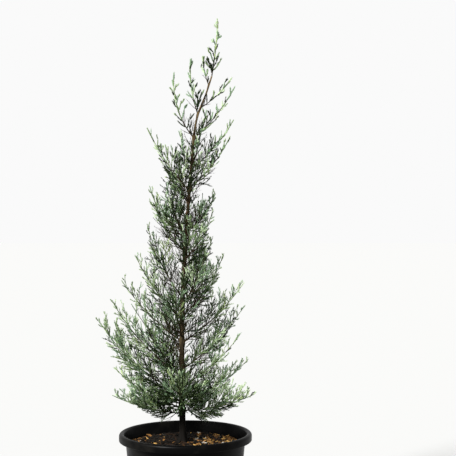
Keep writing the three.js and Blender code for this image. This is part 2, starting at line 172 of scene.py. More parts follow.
# The rule for twigs: a spiral on the limb, longer and more splayed near the trunk. Their gaps change with
# the limb's height.
FIRST_TWIG = 2 * MM
LAST_TWIG = 0.94
CROWD_HEIGHTS = (0.2, 0.33, 0.46, 0.56, 0.63)
CROWD_GAPS = (0.4, 0.58, 0.46, 0.54, 0.75)
GAP_SAMPLES = 200
FEWEST_TWIGS = 3
TWIG_PLACE = 0.35
TWIG_TURN = math.radians(137.5)
TWIG_TURN_SPREAD = 0.5
TWIG_SPLAY = (62, 30)
TWIG_BEND = 0.3
TWIG_LENGTH = (0.07, 0.56)
TWIG_LENGTH_FALL = 1.75
TWIG_LENGTH_SPREAD = 0.3
TWIG_LIMITS = (7 * MM, 38 * MM)
TWIG_RADIUS = (0.55 * MM, 0.3 * MM)
TWIG_STEPS = 5

# Twigs turn up by the limb's height, and more towards its tip. Those under the limb are cut shorter.
UPTURN_HEIGHTS = (0.205, 0.3)
TWIG_UPTURN = (0.42, 0.4)
UPTURN_GROWTH = (0.7, 1.3)
UNDERSIDE_CUTS = (0.2, 0.55)

# Twigs are shortened by steps until the points at these shares of them fit.
TWIG_PROBES = (1, 0.6)
TWIG_SHRINK = 0.92
TWIG_TRIES = 13

# The crown's outline: at a height, how far it reaches to the left and to the right of the pot's axis.
OUTLINE = np.array((
    (190, 42, 60), (206, 64, 85), (223, 93, 95), (259, 103, 92), (293, 124, 87), (333, 122, 80),
    (354, 105, 82), (381, 89, 83), (400, 80, 68), (417, 71, 54), (441, 60, 39), (460, 53, 38),
    (500, 49, 39), (520, 43, 46), (558, 52, 57), (592, 50, 63), (610, 44, 66), (647, 30, 69),
    (664, 14, 60), (690, -6, 58), (746, -25, 58),
)) * MM
OUTLINE_LEEWAY = 9 * MM
BODY_SHARE = 0.88

# The crown thins out with height: the share of side shoots that grow, the length of twigs, and the size of
# leaves, which are larger there.
THIN_HEIGHTS = (0.5, 0.6, 0.67)
THIN_SHARES = (1.0, 0.35, 0.35)
THIN_LENGTHS = (1.0, 0.5, 0.45)
THIN_VIGOUR = (1.0, 1.5, 1.7)

# Side shoots stand in turn on two edges and lean towards the tip, as on the source's sprays.
Rule = namedtuple("Rule", "first last turn_spread lean lean_spread reach spread limits radius")
BRANCHLETS = Rule(0.1, 0.97, 1.5, 30, 9, (0.7, 0.36), 0.35, (5 * MM, 22 * MM), 0.36 * MM)
SHOOTS = Rule(0.15, 0.8, 1.7, 27, 8, (0.62, 0.4), 0.3, (3.6 * MM, 11 * MM), 0.28 * MM)
SHOOT_BEND = 0.25
SHOOT_LIFT = 0.05

# Room that twigs keep, and how far they may cross into the next limb's space.
ROOM_TRUNK = 1.0 * MM
ROOM_POT = 2.5 * MM
ROOM_LIP = 4 * MM
SPACE_OVERLAP = 6 * MM
LINE_STEP = 4 * MM

SEED = 4297
SEED_STEP = 101
PIECE_TRIANGLES = 190_000

# Light grows along a limb from none to one. Limbs to the front and back and the undersides get less, low
# limbs and the leader more.
DEPTH_LIGHT = 0.3
UNDERSIDE_SHADE = 0.6
LOW_LIMBS = 0.26
LOW_LIGHT = 1.7
LEADER_LIGHT = 1.9

# Shares of the five leaf colours in no light and in full light, in the order of LEAF_TINTS, and the share
# of side shoots that keep their parent's colour.
LEAF_TINTS = ("deep", "sage", "glaucous", "pale", "fresh")
INNER_SHARES = np.array((0.92, 0.05, 0.03, 0.0, 0.0))
OUTER_SHARES = np.array((0.02, 0.31, 0.35, 0.28, 0.04))
OUTER_RISE = 0.65
KEPT_TINT = 0.6

# Old twigs near the trunk have lost their leaves: few of them in the lowest crown, none on the leader.
BARE = -1
BARE_WITHIN = 0.3
BARE_HEIGHTS = (0.225, 0.26)
BARE_SHARES = (0.1, 0.6)

# A scale leaf has four corners. Its base and shoulders lie at shares of its length and spread, its size
# varies and falls towards the shoot's tip, and deep leaves stand further apart.
LEAF_FACES = 4
FEWEST_PAIRS = 2
LEAF_BASE = -0.1
LEAF_SHOULDER = (0.42, 0.16)
LEAF_PLACE = 0.35
LEAF_SIZES = (0.8, 1.2)
LEAF_TAPER = (1.08, 0.78)
LEAF_CORE = 0.5
DEEP_PITCH = 1.35

# Directions steeper than this are crossed with X, and others with Z.
STEEP = 0.9


def linear(text):
    """An sRGB hex colour as linear red, green and blue."""
    parts = [int(text[i : i + 2], 16) / 255 for i in (0, 2, 4)]
    return tuple(c / 12.92 if c <= 0.04045 else ((c + 0.055) / 1.055) ** 2.4 for c in parts)


def metres(name, description, default):
    """A setting that is a length."""
    return FloatProperty(name=name, description=description, default=default, unit="LENGTH", precision=5)


def srgb(name, description, text):
    """A setting that is a colour, from its sRGB hex value."""
    return FloatVectorProperty(name=name, description=description, default=linear(text), subtype="COLOR")


class PotSizes(PropertyGroup):
    """Sizes and colours of the nursery pot."""

    height: metres("Height", "From the floor to the top of the lip", POT_HIGH.z)
    rim_radius: metres("Rim radius", "Outside the rolled lip", POT_HIGH.x)
    mouth_radius: metres("Mouth radius", "Inside the rolled lip", 83.8 * MM)
    body_radius: metres("Body radius", "Just under the lip", 82.2 * MM)
    base_radius: metres("Base radius", "At the foot", 66.4 * MM)
    lip_drop: metres("Lip drop", "Height of the lip's band", 10.5 * MM)
    wall: metres("Wall", "Thickness of the wall", 2.4 * MM)
    floor: metres("Floor", "Thickness of the floor", 3 * MM)
    round: metres("Edge round", "Radius of the rounded foot", 3 * MM)
    drain_radius: metres("Drain radius", "Radius of a drain hole", 7 * MM)
    drain_ring: metres("Drain ring", "From the axis to a drain hole", 48 * MM)
    drains: IntProperty(name="Drains", description="Drain holes in the floor", default=6, min=0)
    plastic: srgb("Plastic", "Body colour of the plastic", "030303")
    dust: srgb("Dust", "Dry dust on the plastic", "4a463d")


class MixSizes(PropertyGroup):
    """Sizes and colours of the potting mix."""

    relief: metres("Relief", "Height of the lumps in the surface", 1.5 * MM)
    chips: IntProperty(name="Chips", description="Bark and wood chips on the surface", default=4200, min=0)
    chip_length: metres("Chip length", "Length of the longest chips", 15 * MM)
    crumb: srgb("Crumb", "Damp fine mix", "050403")
    crumb_dry: srgb("Dry crumb", "Dry fine mix", "0b0805")
    bark: srgb("Bark chips", "Dark bark chips", "0a0704")
    brown: srgb("Brown chips", "Weathered bark chips", "1f140b")
    tan: srgb("Tan chips", "Pale wood chips", "6b4a25")
    straw: srgb("Straw chips", "Fresh splinters of wood", "a07d46")
    grit: srgb("White grit", "Grains of white grit", "a8a49a")


class WoodSizes(PropertyGroup):
    """Sizes and colours of the bark."""

    relief: metres("Relief", "Depth of the bark's furrows", 0.45 * MM)
    furrow: metres("Furrow width", "Width of a furrow round the trunk", 2.2 * MM)
    plate: metres("Plate length", "Length of a strip of bark", 16 * MM)
    # The old bark's near black is partly the bark's age and partly painted shade of the crown over the foot.
    old_shaded: srgb("Old bark", "Grey brown bark near the foot", "0a0806")
    middle: srgb("Middle bark", "Olive brown bark low on the trunk", "332b1c")
    ruddy: srgb("Ruddy bark", "Red brown bark two thirds of the way up", "4a3220")
    young: srgb("Young bark", "Tan bark near the leader", "57482f")
    furrows: srgb("Furrows", "Dark ground between strips", "080604")
    twig: srgb("Twigs", "Thin bark of the twigs", "241c11")


class FoliageSizes(PropertyGroup):
    """Spacing, sizes and colours of the foliage."""

    twig_spacing: metres("Twig spacing", "Between twigs on a limb near the trunk", 2.5 * MM)
    tip_spacing: metres("Tip spacing", "Between twigs on a limb near its tip", 14 * MM)
    branchlet_spacing: metres("Branchlet spacing", "Between branchlets on a twig", 3.9 * MM)
    shoot_spacing: metres("Shoot spacing", "Between shoots on a branchlet", 4.2 * MM)
    leaf_pitch: metres("Leaf pitch", "Between pairs of scale leaves", 1.4 * MM)
    leaf_length: metres("Leaf length", "Length of a scale leaf", 2.8 * MM)
    leaf_width: metres("Leaf width", "Width of a scale leaf", 1.15 * MM)
    leaf_spread: metres("Leaf spread", "From the shoot's middle to a leaf's tip", 0.75 * MM)
    # Deep leaves are painted shade, partly older leaves: they are dealt where the light along a limb is
    # least, inside the crown, under limbs and on the front and back limbs. Pale leaves are a real bloom,
    # dealt most where that light is most, as painted light.
    deep: srgb("Deep leaves", "Old leaves inside the crown", "1b2711")
    sage: srgb("Sage leaves", "Grey green leaves", "6a7d56")
    glaucous: srgb("Glaucous leaves", "Leaves with a blue grey bloom", "6b8264")
    pale: srgb("Pale leaves", "Leaves with a thick pale bloom", "9aab87")
    fresh: srgb("Fresh leaves", "Yellow green leaves on young tips", "8b9b68")
    core: srgb("Shoot cores", "Green stems under the leaves", "2c3a1a")


class StageSizes(PropertyGroup):
    """Camera, light and floor."""

    eye: FloatVectorProperty(
        name="Eye", description="Place of the camera", default=(0.0584, -1.416, 0.457), subtype="XYZ"
    )
    lens: FloatProperty(name="Lens", description="Focal length in millimetres", default=81.2)
    key: FloatProperty(name="Key", description="Strength of the key light", default=10.0)
    fill: FloatProperty(name="Fill", description="Strength of the light from all round", default=1.0)
    floor_radius: metres("Floor radius", "Half the width of the floor", 30.0)
    paper: srgb("Floor colour", "Pale studio floor", "a0a09f")
    sky: srgb("Sky colour", "Light from all round", "fafafa")


Shoots = namedtuple("Shoots", "root direction bend length radius light tint")


def unit(rows):
    """Rows of vectors, each with length one."""
    return rows / np.linalg.norm(rows, axis=1, keepdims=True)


def blend(pair, share):
    return pair[0] + (pair[1] - pair[0]) * share


def jitter(random, count, width):
    """Random numbers in a band of a width about nought."""
    return (random.random(count) - 0.5) * width


def smooth_line(knots, samples):
    """A centripetal curve through the knots, sampled evenly in each span."""
    knots = np.array(knots, float)
    chain = np.vstack([2 * knots[0] - knots[1], knots, 2 * knots[-1] - knots[-2]])
    share = np.linspace(0, 1, samples, endpoint=False)[:, None]
    spans = []
    for p0, p1, p2, p3 in zip(chain, chain[1:], chain[2:], chain[3:]):
        d0, d1, d2 = (np.linalg.norm(b - a) ** 0.5 for a, b in ((p0, p1), (p1, p2), (p2, p3)))
        m1 = ((p1 - p0) / d0 - (p2 - p0) / (d0 + d1) + (p2 - p1) / d1) * d1
        m2 = ((p2 - p1) / d1 - (p3 - p1) / (d1 + d2) + (p3 - p2) / d2) * d1
        square = 3 * (p2 - p1) - 2 * m1 - m2
        cube = 2 * (p1 - p2) + m1 + m2
        spans.append(p1 + m1 * share + square * share**2 + cube * share**3)
    return np.vstack([*spans, knots[-1:]])


TRUNK_CURVE = smooth_line(TRUNK_LINE, TRUNK_SAMPLES) * MM
TRUNK_FOOT, TRUNK_TIP = TRUNK_CURVE[0, 1], TRUNK_CURVE[-1, 1]


def trunk_lean(height):
    return np.interp(height, TRUNK_CURVE[:, 1], TRUNK_CURVE[:, 0])


def root_flare(height):
    """The share of the root flare that is left at a height."""
    return np.exp(-np.maximum(height - TRUNK_FOOT, 0) / FLARE_HEIGHT)


def trunk_radius(height):
    """The trunk's radius at a height, with its root flare."""
    share = np.clip((height - TRUNK_FOOT) / (TRUNK_TIP - TRUNK_FOOT), 0, 1)
    return blend((TRUNK_FOOT_RADIUS, TRUNK_TIP_RADIUS), share**TRUNK_TAPER) + FLARE * root_flare(height)


def trunk_clearance(points):
    """How far points lie from the trunk's surface, or above its tip."""
    sideways = np.hypot(points[:, 0] - trunk_lean(points[:, 2]), points[:, 1])
    return np.maximum(sideways - trunk_radius(points[:, 2]), points[:, 2] - TRUNK_TIP)


class Limb:
    """A limb's line: it leaves the trunk's middle at its first rise and turns upwards evenly."""

    def __init__(self, name, index, height, heading, rise, lift, reach):
        self.name = name
        self.random = np.random.default_rng(SEED + SEED_STEP * index)
        self.reach = reach * MM
        self.rise = math.radians(rise)
        self.lift = math.radians(lift)
        angle = math.radians(heading)
        self.out = np.array((math.cos(angle), math.sin(angle), 0))
        self.side = np.array((-math.sin(angle), math.cos(angle), 0))
        self.height = height * MM
        self.start = np.array((trunk_lean(self.height), 0, self.height))
        self.base_radius = LIMB_BASE_RADIUS + LIMB_RADIUS_PER_REACH * self.reach
        self.leafy_from = trunk_radius(self.height)
        self.foot = LIMB_ROOT * self.leafy_from
        self.has_bough = self.reach >= BOUGH_LEAST_REACH
        self.mass_from = BOUGH_SHARE * self.reach if self.has_bough else self.foot
        self.gap, self.twig_scale, self.tip_growth = HABITS.get(name, PLAIN_HABIT)
        self.stem_leaves_from = STEM_LEAVES_EXCEPT.get(name, STEM_LEAVES_FROM) * self.reach
        self.bare = name == BAY_LIMB
        self.bare_within = 0 if name == "leader" else BARE_WITHIN
        self.light = LOW_LIGHT if self.height < LOW_LIMBS else 1
        if name == "leader":
            self.light = LEADER_LIGHT
        elif name.startswith(("front", "back")):
            self.light = DEPTH_LIGHT

    def points(self, distance):
        """The line's points, by the integral of a direction that turns evenly."""
        turn = self.lift / self.reach
        bend = self.rise + turn * distance
        outwards = (np.sin(bend) - math.sin(self.rise)) / turn
        upwards = (math.cos(self.rise) - np.cos(bend)) / turn
        return self.start + outwards[:, None] * self.out + upwards[:, None] * UP

    def directions(self, distance):
        bend = (self.rise + self.lift * distance / self.reach)[:, None]
        return np.cos(bend) * self.out + np.sin(bend) * UP

    def radii(self, distance):
        share = (distance / self.reach) ** LIMB_TAPER
        return LIMB_SLIMMING * blend((self.base_radius, LIMB_TIP_RADIUS), share)


def plan_limbs():
    """The limbs of the sides by their schedule, and those of the front and back by their rule."""
    rows = []
    for side, limbs in SIDE_LIMBS.items():
        rows += [(f"{side}_{i + 1:02d}", *limb) for i, limb in enumerate(limbs)]
    for i in range(DEPTH_COUNT):
        share = i / (DEPTH_COUNT - 1)
        face, heading = ("back", 90) if i % 2 else ("front", 270)
        heading += DEPTH_SWING * math.sin(DEPTH_SWING_TURN * i)
        rise = blend(DEPTH_RISE, math.sqrt(share))
        row = (blend(DEPTH_HEIGHT, share), heading, rise, blend(DEPTH_LIFT, share), blend(DEPTH_REACH, share))
        rows.append((f"{face}_{i // 2 + 1:02d}", *row))
    rows.append(("leader", *LEADER))
    return [Limb(name, index, *row) for index, (name, *row) in enumerate(rows)]


LIMBS = plan_limbs()


class CrownSpace:
    """Tells whether points keep to their own limb's space and clear of trunk, pot and mix."""

    def __init__(self):
        lines = [limb.points(np.arange(limb.foot, limb.reach, LINE_STEP)) for limb in LIMBS]
        self.line = np.vstack(lines)
        self.starts = np.cumsum([0] + [len(line) for line in lines[:-1]])
        self.bays = [i for i, limb in enumerate(LIMBS) if limb.bare]

    def keeps(self, points, roots, owner):
        far = np.linalg.norm(points[:, None] - self.line[None], axis=2)
        near = np.minimum.reduceat(far, self.starts, axis=1)
        rows = np.arange(len(points))
        own = near[rows, owner].copy()
        near[:, self.bays] -= BAY_MARGIN
        near[rows, owner] = np.inf
        nearest = near.min(axis=1) > own - SPACE_OVERLAP
        return nearest & clear_of_rest(points) & inside_crown(points, roots)


def inside_crown(points, roots):
    """Whether points keep to the crown's outline, or at least near the place that they grow from."""
    left, right = (np.interp(points[:, 2], OUTLINE[:, 0], OUTLINE[:, i]) for i in (1, 2))
    middle, half = (right - left) / 2, (right + left) / 2
    away = np.hypot(points[:, 0] - middle, points[:, 1])
    start = np.hypot(roots[:, 0] - middle, roots[:, 1])
    return away < np.maximum(BODY_SHARE * half, start + OUTLINE_LEEWAY)


def clear_of_rest(points):
    """Whether points are clear of the trunk, the mix and the pot's lip."""
    over_rim = np.hypot(points[:, 0], points[:, 1]) > bpy.context.scene.cypress_pot.body_radius - ROOM_LIP
    low = points[:, 2] < np.where(over_rim, POT_HIGH.z, MIX_HIGH.z) + ROOM_POT
    return (trunk_clearance(points) > ROOM_TRUNK) & ~low


def clear_of_bays(points):
    """Whether points are clear of the open bay round a bare limb."""
    bare = [limb.points(np.arange(BAY_START, limb.reach, LINE_STEP)) for limb in LIMBS if limb.bare]
    return np.linalg.norm(points[:, None] - np.vstack(bare)[None], axis=2).min(axis=1) > BAY_RADIUS


def spaced(first, last, near_gap, far_gap):
    """Places from first to last whose gaps widen evenly."""
    fine = np.linspace(first, last, GAP_SAMPLES)
    crowd = 1 / np.linspace(near_gap, far_gap, GAP_SAMPLES)
    steps = np.concatenate([[0], np.cumsum((crowd[1:] + crowd[:-1]) / 2 * np.diff(fine))])
    count = max(FEWEST_TWIGS, round(steps[-1]))
    return np.interp((np.arange(count) + TWIG_PLACE) * steps[-1] / count, steps, fine)


def deal_tints(light, random):
    """A leaf colour's number for each spray, by the light on it."""
    weights = blend((INNER_SHARES, OUTER_SHARES), light[:, None] ** OUTER_RISE)
    passed = np.cumsum(weights, axis=1) < random.random(len(light))[:, None]
    return np.minimum(passed.sum(axis=1), len(LEAF_TINTS) - 1)


def around(turn, across, over):
    """Directions at angles in the plane of two others."""
    return np.cos(turn)[:, None] * across + np.sin(turn)[:, None] * over


def limb_twigs(limb, sizes):
    """A limb's twigs before they are fitted, in a spiral round it."""
    random = limb.random
    crowd = limb.gap * np.interp(limb.height, CROWD_HEIGHTS, CROWD_GAPS)
    first, last = limb.leafy_from + FIRST_TWIG, LAST_TWIG * limb.reach
    distance = spaced(first, last, crowd * sizes.twig_spacing, crowd * sizes.tip_spacing)
    count, share, root = len(distance), distance / limb.reach, limb.points(distance)
    forward = limb.directions(distance)
    turn = np.arange(count) * TWIG_TURN + jitter(random, count, TWIG_TURN_SPREAD)
    outwards = around(turn, limb.side, np.cross(forward, limb.side))
    under = np.clip(-outwards[:, 2], 0, 1)
    splay = np.radians(blend(TWIG_SPLAY, share))[:, None]
    upturn = np.interp(limb.height, UPTURN_HEIGHTS, TWIG_UPTURN) * blend(UPTURN_GROWTH, share)
    direction = unit(np.cos(splay) * forward + np.sin(splay) * outwards + upturn[:, None] * UP)
    wanted = limb.reach * blend(TWIG_LENGTH, (1 - share) ** TWIG_LENGTH_FALL)
    wanted *= 1 + jitter(random, count, TWIG_LENGTH_SPREAD)
    length = limb.twig_scale * np.clip(wanted, *TWIG_LIMITS) * blend((1, limb.tip_growth), share)
    length *= 1 - np.interp(limb.height, UPTURN_HEIGHTS, UNDERSIDE_CUTS) * under
    length *= np.interp(root[:, 2], THIN_HEIGHTS, THIN_LENGTHS)
    length = np.maximum(length, TWIG_LIMITS[0])
    bare_share = np.interp(limb.height, BARE_HEIGHTS, BARE_SHARES) * (share < limb.bare_within)
    bare = (random.random(count) < bare_share) | limb.bare
    light = np.minimum(limb.light * share * (1 - UNDERSIDE_SHADE * under), 1)
    tint = np.where(bare, BARE, deal_tints(light, random))
    bend = np.tile(TWIG_BEND * UP, (count, 1))
    return Shoots(root, direction, bend, length, blend(TWIG_RADIUS, share), light, tint)


def chosen(shoots, rows):
    return Shoots(*(column[rows] for column in shoots))


def joined(*groups):
    return Shoots(*(np.concatenate(columns) for columns in zip(*groups)))


def points_at(shoots, share):
    """Points at a share of the length of the shoots."""
    return shoots.root + (shoots.direction * share + shoots.bend * share**2) * shoots.length[:, None]


def along(shoots, index, share):
    """Points and directions at shares of the length of the numbered shoots."""
    rows, share = chosen(shoots, index), share[:, None]
    return points_at(rows, share), unit(rows.direction + 2 * rows.bend * share)


def fit_twigs(twigs, owner):
    """Twigs shortened until they keep to their limb's space. Those that can't are left out."""
    space = CrownSpace()
    open_rows = np.arange(len(owner))
    for _ in range(TWIG_TRIES):
        part, owners = chosen(twigs, open_rows), owner[open_rows]
        probes = [space.keeps(points_at(part, share), part.root, owners) for share in TWIG_PROBES]
        open_rows = open_rows[~np.all(probes, axis=0)]
        twigs.length[open_rows] *= TWIG_SHRINK
    keep = np.ones(len(owner), bool)
    keep[open_rows] = False
    return chosen(twigs, keep)


def cross_directions(tangent):
    """Two directions across each tangent."""
    aside = np.where(np.abs(tangent[:, 2:]) > STEEP, (1.0, 0.0, 0.0), (0.0, 0.0, 1.0))
    across = unit(np.cross(aside, tangent))
    return across, np.cross(tangent, across)


def numbered(counts):
    """For rows repeated by their counts: each one's row and its place among that row's."""
    index = np.repeat(np.arange(len(counts)), counts)
    return index, np.arange(len(index)) - np.repeat(np.cumsum(counts) - counts, counts)


def side_shoots(parents, spacing, rule, random):
    """Side shoots that stand in turn on two edges of their parents and lean towards the tip."""
    counts = np.maximum(1, np.round((rule.last - rule.first) * parents.length / spacing)).astype(int)
    index, place = numbered(counts)
    total = len(index)
    share = rule.first + (rule.last - rule.first) * (place + random.random(total)) / counts[index]
    root, tangent = along(parents, index, share)
    face = random.random(len(counts)) * 2 * math.pi
    turn = face[index] + math.pi * place + jitter(random, total, rule.turn_spread)
    lean = np.radians(rule.lean + jitter(random, total, 2 * rule.lean_spread))[:, None]
    outwards = around(turn, *cross_directions(tangent))
    direction = unit(np.cos(lean) * tangent + np.sin(lean) * outwards)
    spread = 1 + jitter(random, total, 2 * rule.spread)
    length = np.clip(parents.length[index] * blend(rule.reach, share) * spread, *rule.limits)
    bend = SHOOT_BEND * (tangent - direction) + SHOOT_LIFT * UP
    light = parents.light[index]
    kept = (random.random(total) < KEPT_TINT) | (parents.tint[index] == BARE)
    tint = np.where(kept, parents.tint[index], deal_tints(light, random))
    made = Shoots(root, direction, bend, length, np.full(total, rule.radius), light, tint)
    grown = random.random(total) < np.interp(root[:, 2], THIN_HEIGHTS, THIN_SHARES)
    tips = points_at(made, 1)
    return chosen(made, grown & clear_of_rest(tips) & clear_of_bays(tips) & inside_crown(tips, root))


def leafy_stems(limb):
    """The outer, leafy stretch of a limb's stem, as short straight shoots end to end."""
    start = limb.stem_leaves_from
    count = max(FEWEST_MARKS, round((limb.reach - start) / STEM_STRETCH))
    marks = np.linspace(start, limb.reach, count)
    points = limb.points(marks)
    step = np.diff(points, axis=0)
    length = np.linalg.norm(step, axis=1)
    light = np.minimum(limb.light * marks[1:] / limb.reach, 1)
    tint = deal_tints(light, limb.random)
    return Shoots(points[:-1], unit(step), 0 * step, length, limb.radii(marks[:-1]), light, tint)


def grow_foliage(sizes):
    """Twigs of the whole crown, their branchlets and shoots, and the leafy ends of its limbs."""
    plans = [limb_twigs(limb, sizes) for limb in LIMBS]
    owner = np.repeat(np.arange(len(LIMBS)), [len(plan.length) for plan in plans])
    twigs = fit_twigs(joined(*plans), owner)
    random = np.random.default_rng(SEED)
    branchlets = side_shoots(twigs, sizes.branchlet_spacing, BRANCHLETS, random)
    shoots = side_shoots(branchlets, sizes.shoot_spacing, SHOOTS, random)
    stems = joined(*(leafy_stems(limb) for limb in LIMBS))
    return twigs, joined(branchlets, shoots), stems


def tetrahedra(corners):
    """Vertices and outward triangles of rows of four corners."""
    a, b, c, d = (corners[:, i] for i in range(4))
    inside_out = np.einsum("ij,ij->i", np.cross(b - a, c - a), d - a) < 0
    corners = corners.copy()
    corners[inside_out, 1], corners[inside_out, 2] = c[inside_out], b[inside_out]
    faces = np.array(((0, 2, 1), (0, 1, 3), (1, 2, 3), (0, 3, 2)))
    first = 4 * np.arange(len(corners))[:, None, None]
    return corners.reshape(-1, 3), (first + faces).reshape(-1, 3)


def scale_leaves(shoots, sizes, random):
    """Pairs of keeled scale leaves along shoots, each pair a quarter turn on, with their colours."""
    pitch = sizes.leaf_pitch * np.where(shoots.tint == LEAF_TINTS.index("deep"), DEEP_PITCH, 1)
    counts = np.maximum(FEWEST_PAIRS, np.round(shoots.length / pitch)).astype(int)
    index, place = numbered(counts)
    share = (place + LEAF_PLACE) / counts[index]
    middle, tangent = along(shoots, index, share)
    across, over = cross_directions(tangent)
    spin = random.random(len(counts)) * 2 * math.pi
    turn = spin[index] + place * math.pi / 2
    outward, sideways = around(turn, across, over), around(turn, over, -across)
    size = blend(LEAF_SIZES, random.random(len(index))) * blend(LEAF_TAPER, share)
    size = (size * np.interp(middle[:, 2], THIN_HEIGHTS, THIN_VIGOUR))[:, None]
    length = size * sizes.leaf_length * tangent
    spread = (size * sizes.leaf_spread + LEAF_CORE * shoots.radius[index][:, None]) * outward
    half = size * sizes.leaf_width / 2 * sideways
    base = middle + LEAF_BASE * length
    leaves = []
    for face in (1, -1):
        shoulder = middle + LEAF_SHOULDER[0] * length + face * LEAF_SHOULDER[1] * spread
        tip = middle + length + face * spread
        leaves.append(np.stack([base, shoulder + half, shoulder - half, tip], axis=1))
    return np.concatenate(leaves), np.tile(shoots.tint[index], 2)


def spikes(shoots):
    """Three-sided tapering cores of straight shoots, as rows of four corners."""
    across, over = cross_directions(shoots.direction)
    radius = shoots.radius[:, None]
    ring = [
        shoots.root + radius * (math.cos(angle) * across + math.sin(angle) * over)
        for angle in (0, 2 * math.pi / 3, 4 * math.pi / 3)
    ]
    return np.stack([*ring, points_at(shoots, 1)], axis=1)


def tubes(points, radii, sides):
    """Vertices and outward triangles of closed tapering tubes: one row of points and radii each."""
    rows, steps = radii.shape
    tangent = unit(np.gradient(points, axis=1).reshape(-1, 3))
    across, over = (part.reshape(rows, steps, 1, 3) for part in cross_directions(tangent))
    angle = (2 * math.pi * np.arange(sides) / sides)[None, None, :, None]
    offset = np.cos(angle) * across + np.sin(angle) * over
    vertices = points[:, :, None] + radii[:, :, None, None] * offset
    ring, side = np.meshgrid(np.arange(steps - 1), np.arange(sides), indexing="ij")
    here = (ring * sides + side).ravel()
    right = (ring * sides + (side + 1) % sides).ravel()
    walls = [(here, right, right + sides), (here, right + sides, here + sides)]
    fan = np.arange(1, sides - 1)
    foot = np.stack([0 * fan, fan + 1, fan], axis=1)
    tip = np.stack([0 * fan, fan, fan + 1], axis=1) + (steps - 1) * sides
    faces = np.concatenate([*(np.stack(wall, axis=1) for wall in walls), foot, tip])
    first = (steps * sides * np.arange(rows))[:, None, None]
    return vertices.reshape(-1, 3), (first + faces).reshape(-1, 3)


def add_mesh(name, vertices, faces, material):
    """A mesh object from arrays, at the origin."""
    mesh = bpy.data.meshes.new(name)
    mesh.from_pydata(vertices, [], faces)
    mesh.materials.append(material)
    made = bpy.data.objects.new(name, mesh)
    bpy.context.collection.objects.link(made)
    return made


def settle(piece, slot, *nodes):
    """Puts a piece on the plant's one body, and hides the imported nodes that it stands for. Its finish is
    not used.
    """
    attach(piece, "root")
    if nodes:
        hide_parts(*nodes)


def add_node(tree, kind, inputs, **settings):
    """Adds a shader node. Inputs that are sockets are linked, and others are set."""
    made = tree.nodes.new(f"ShaderNode{kind}")
    for key, value in settings.items():
        setattr(made, key, value)
    for key, value in inputs.items():
        if isinstance(value, bpy.types.NodeSocket):
            tree.links.new(value, made.inputs[key])
        else:
            made.inputs[key].default_value = value
    return made


def new_material(name):
    """An empty material, its node tree and the object coordinates in it."""
    material = bpy.data.materials.new(name)
    material.use_nodes = True
    tree = material.node_tree
    tree.nodes.clear()
    return material, tree, add_node(tree, "TexCoord", {}).outputs["Object"]


def opaque(colour):
    return (*colour, 1.0)


def per_metre(size):
    """A pattern's scale for features of a size."""
    return 1 / size


def pot_material(sizes):
    """Moulded polypropylene, satin black: soft highlights on the lip, a fine grain and dry dust.

    The grain is drawn coarser than life, so that it shows.
    """
    material, tree, place = new_material("Moulded black polypropylene")
    dust = add_node(tree, "TexNoise", {"Vector": place, "Scale": per_metre(22 * MM), "Detail": 6.0})
    cloud = dust.outputs["Fac"]
    dusty = add_node(tree, "MapRange", {"Value": cloud, "From Min": 0.5, "From Max": 0.85, "To Max": 0.07})
    paints = {"Factor": dusty.outputs["Result"], "A": opaque(sizes.plastic), "B": opaque(sizes.dust)}
    colour = add_node(tree, "Mix", paints, data_type="RGBA")
    grain = add_node(tree, "TexNoise", {"Vector": place, "Scale": per_metre(1.4 * MM), "Detail": 2.0})
    bump = add_node(tree, "Bump", {"Height": grain.outputs["Fac"], "Strength": 0.12, "Distance": 0.2 * MM})
    rough = add_node(tree, "MapRange", {"Value": cloud, "To Min": 0.26, "To Max": 0.45})
    satin = {
        "Base Color": colour.outputs["Result"],
        "Roughness": rough.outputs["Result"],
        "IOR": 1.49,
        "Specular IOR Level": 0.035,
        "Normal": bump.outputs["Normal"],
    }
    surface = add_node(tree, "BsdfPrincipled", satin)
    add_node(tree, "OutputMaterial", {"Surface": surface.outputs["BSDF"]})
    return material


def mix_material(sizes):
    """Damp peat and bark crumb: dark, dull and lumpy, with drier crumbs."""
    material, tree, place = new_material("Damp bark potting mix")
    crumb = add_node(tree, "TexNoise", {"Vector": place, "Scale": per_metre(3 * MM), "Detail": 8.0})
    lump = crumb.outputs["Fac"]
    paints = {"Factor": lump, "A": opaque(sizes.crumb), "B": opaque(sizes.crumb_dry)}
    colour = add_node(tree, "Mix", paints, data_type="RGBA")
    bump = add_node(tree, "Bump", {"Height": lump, "Strength": 0.8, "Distance": 1.0 * MM})
    dull = {
        "Base Color": colour.outputs["Result"],
        "Roughness": 0.92,
        "Specular IOR Level": 0.06,
        "Normal": bump.outputs["Normal"],
    }
    surface = add_node(tree, "BsdfPrincipled", dull)
    add_node(tree, "OutputMaterial", {"Surface": surface.outputs["BSDF"]})
    return material


